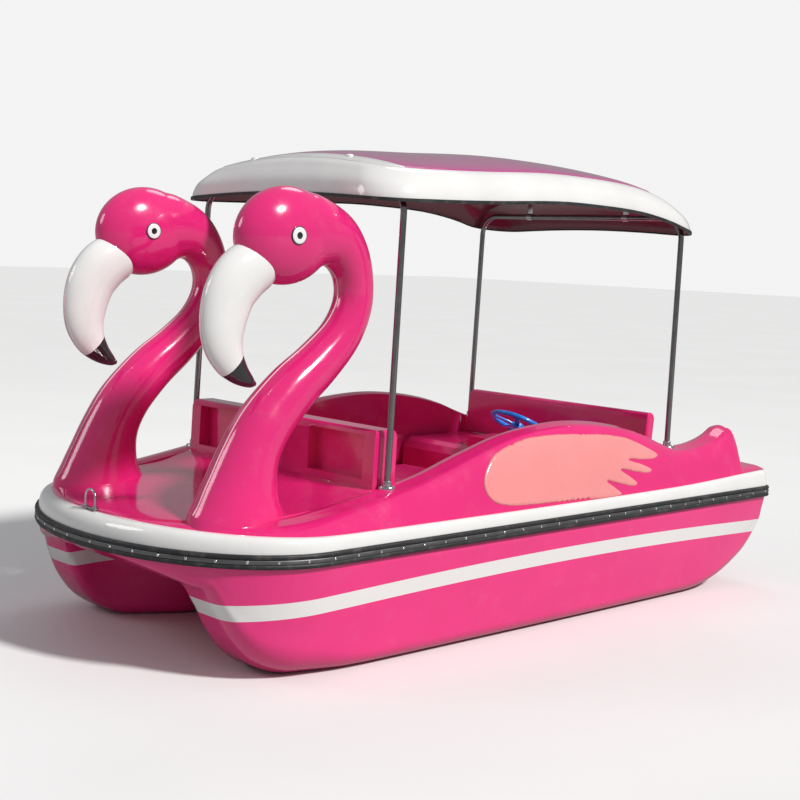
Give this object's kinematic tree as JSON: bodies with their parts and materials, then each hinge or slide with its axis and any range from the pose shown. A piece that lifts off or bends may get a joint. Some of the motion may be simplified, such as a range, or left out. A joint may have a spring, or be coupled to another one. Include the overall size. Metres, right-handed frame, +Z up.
{
  "type": "pedal boat",
  "caption": "Fibreglass catamaran pedal boat with bird figureheads, a canopy on tube frames, facing bench seats, foot cranks driving a centre paddle wheel, and a hand-steered rudder.",
  "frame": {"origin": "on the plane the floats rest on, on the centreline, half way between the outermost points of the rub rail at bow and stern", "axes": "+Z up, the bow points along -Y, the port side is +X"},
  "size_m": [1.6, 3.318, 1.945],
  "materials": {
    "pink_gelcoat": "glossy pink gelcoat on fibreglass",
    "roof_pink": "glossy magenta-pink gelcoat",
    "white_gelcoat": "glossy white gelcoat",
    "black_gloss": "glossy black paint",
    "black_rubber": "satin",
    "rail_strip": "dull extruded strip",
    "stainless": "polished tube",
    "blue_plastic": "glossy moulded plastic",
    "dark_plastic": "moulded, slightly rough",
    "grey_plastic": "moulded, slightly rough"
  },
  "bodies": {
    "hull": {"lower_hull": "pink_gelcoat", "deck_moulding": "pink_gelcoat", "cockpit_tub": "pink_gelcoat", "wheel_housing": "pink_gelcoat", "front_seat": "pink_gelcoat", "rear_seat": "pink_gelcoat", "front_backrest": "pink_gelcoat", "rear_backrest": "pink_gelcoat", "figurehead_port": "pink_gelcoat", "figurehead_starboard": "pink_gelcoat", "roof_panel": "roof_pink", "roof_shell": "white_gelcoat", "beak_port": "white_gelcoat", "beak_starboard": "white_gelcoat", "beak_tip_port": "black_gloss", "beak_tip_starboard": "black_gloss", "rub_rail": "black_rubber", "roof_trim": "black_rubber", "steering_cable": "black_rubber", "rub_rail_strip": "rail_strip", "front_frame": "stainless", "rear_frame": "stainless", "front_post_foot_port": "stainless", "front_post_foot_starboard": "stainless", "rear_post_foot_port": "stainless", "rear_post_foot_starboard": "stainless", "front_roof_clip_port": "stainless", "front_roof_clip_starboard": "stainless", "rear_roof_clip_port": "stainless", "rear_roof_clip_starboard": "stainless", "bow_eye": "stainless", "drain_plug_port": "dark_plastic", "drain_plug_starboard": "dark_plastic", "column_bush": "dark_plastic", "helm_gearbox": "dark_plastic", "inner_bearing_port": "grey_plastic", "inner_bearing_starboard": "grey_plastic", "outer_bearing_port": "grey_plastic", "outer_bearing_starboard": "grey_plastic", "rudder_tube": "grey_plastic"},
    "drive": {"paddle_axle": "stainless", "paddle_hub": "dark_plastic", "paddle_blade_1": "grey_plastic", "paddle_blade_2": "grey_plastic", "paddle_blade_3": "grey_plastic", "paddle_blade_4": "grey_plastic", "paddle_blade_5": "grey_plastic", "paddle_blade_6": "grey_plastic", "crank_port": "stainless", "crank_starboard": "stainless"},
    "helm": {"steering_wheel": "blue_plastic", "steering_column": "stainless"},
    "yoke": {"steering_yoke": "stainless"},
    "rudder": {"rudder_blade": "white_gelcoat", "rudder_stock": "stainless", "tiller": "stainless"},
    "inner_pedal_port": {"inner_pedal_port": "dark_plastic"},
    "inner_pedal_starboard": {"inner_pedal_starboard": "dark_plastic"},
    "outer_pedal_port": {"outer_pedal_port": "dark_plastic"},
    "outer_pedal_starboard": {"outer_pedal_starboard": "dark_plastic"}
  },
  "joints": [
    {"name": "drive_spin", "type": "hinge", "parent": "hull", "child": "drive", "pos_m": [0, 0, 0.3], "axis": [1, 0, 0], "continuous": true},
    {"name": "inner_pedal_port_spin", "type": "hinge", "parent": "drive", "child": "inner_pedal_port", "pos_m": [0.389, 0, 0.415], "axis": [1, 0, 0], "continuous": true},
    {"name": "inner_pedal_starboard_spin", "type": "hinge", "parent": "drive", "child": "inner_pedal_starboard", "pos_m": [-0.389, 0, 0.415], "axis": [1, 0, 0], "continuous": true},
    {"name": "outer_pedal_port_spin", "type": "hinge", "parent": "drive", "child": "outer_pedal_port", "pos_m": [0.486, 0, 0.185], "axis": [1, 0, 0], "continuous": true},
    {"name": "outer_pedal_starboard_spin", "type": "hinge", "parent": "drive", "child": "outer_pedal_starboard", "pos_m": [-0.486, 0, 0.185], "axis": [1, 0, 0], "continuous": true},
    {"name": "helm_turn", "type": "hinge", "parent": "hull", "child": "helm", "pos_m": [0, 0.712, 0.722], "axis": [0, 0.4695, 0.8829], "range_deg": [-120, 120]},
    {"name": "yoke_slide", "type": "slide", "parent": "hull", "child": "yoke", "axis": [0, 1, 0], "range_m": [-0.047, 0.047]},
    {"name": "rudder_turn", "type": "hinge", "parent": "hull", "child": "rudder", "pos_m": [0, 1.39, 0.25], "axis": [0, 0, 1], "range_deg": [-36, 36]}
  ],
  "couplings": [
    {"joint": "rudder_turn", "follows": "helm_turn", "ratio": -0.29167},
    {"joint": "yoke_slide", "follows": "helm_turn", "m_per_rad": -0.0219}
  ]
}
